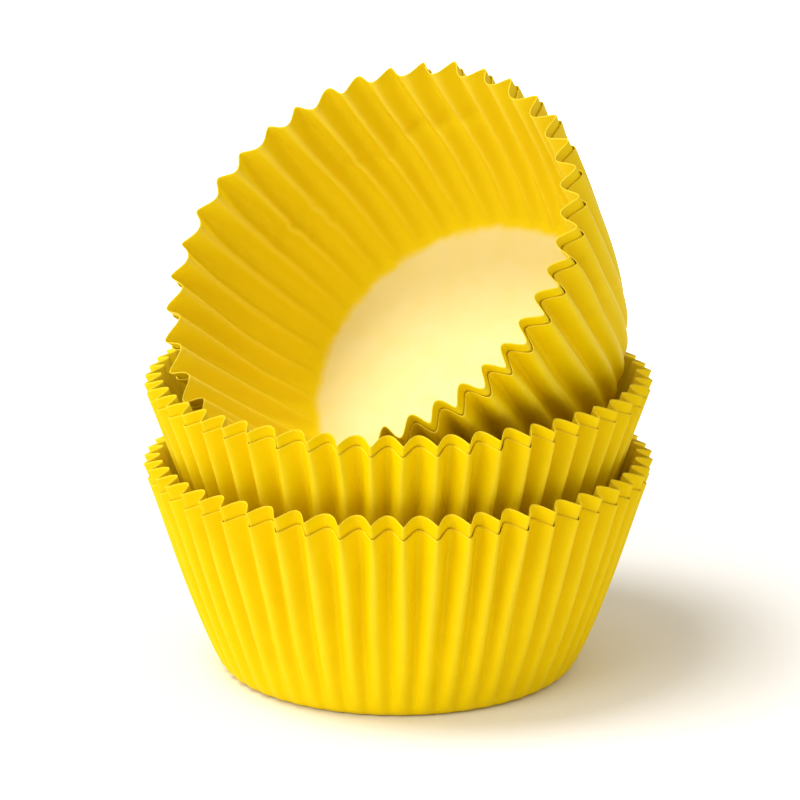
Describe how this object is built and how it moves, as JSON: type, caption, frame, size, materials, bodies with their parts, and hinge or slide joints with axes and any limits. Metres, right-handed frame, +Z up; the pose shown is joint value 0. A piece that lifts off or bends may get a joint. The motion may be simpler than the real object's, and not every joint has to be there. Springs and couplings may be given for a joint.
{
  "type": "stack of paper cupcake liners",
  "caption": "Fluted paper baking cups nested in pairs, two pairs upright and one pair tipped over in the mouth of the upper one.",
  "frame": {"origin": "centre of the flat base of the lowest liner, on the surface it stands on", "axes": "+Z up; -Y towards the viewer, +X to the viewer's right; the tipped pair opens up, forward and to the left"},
  "size_m": [0.0716, 0.0728, 0.0853],
  "materials": {
    "yellow_paper": "matte greaseproof paper"
  },
  "bodies": {
    "root": {"bottom_outer_liner": "yellow_paper", "bottom_inner_liner": "yellow_paper", "middle_outer_liner": "yellow_paper", "middle_inner_liner": "yellow_paper", "tipped_outer_liner": "yellow_paper", "tipped_inner_liner": "yellow_paper"}
  },
  "joints": []
}
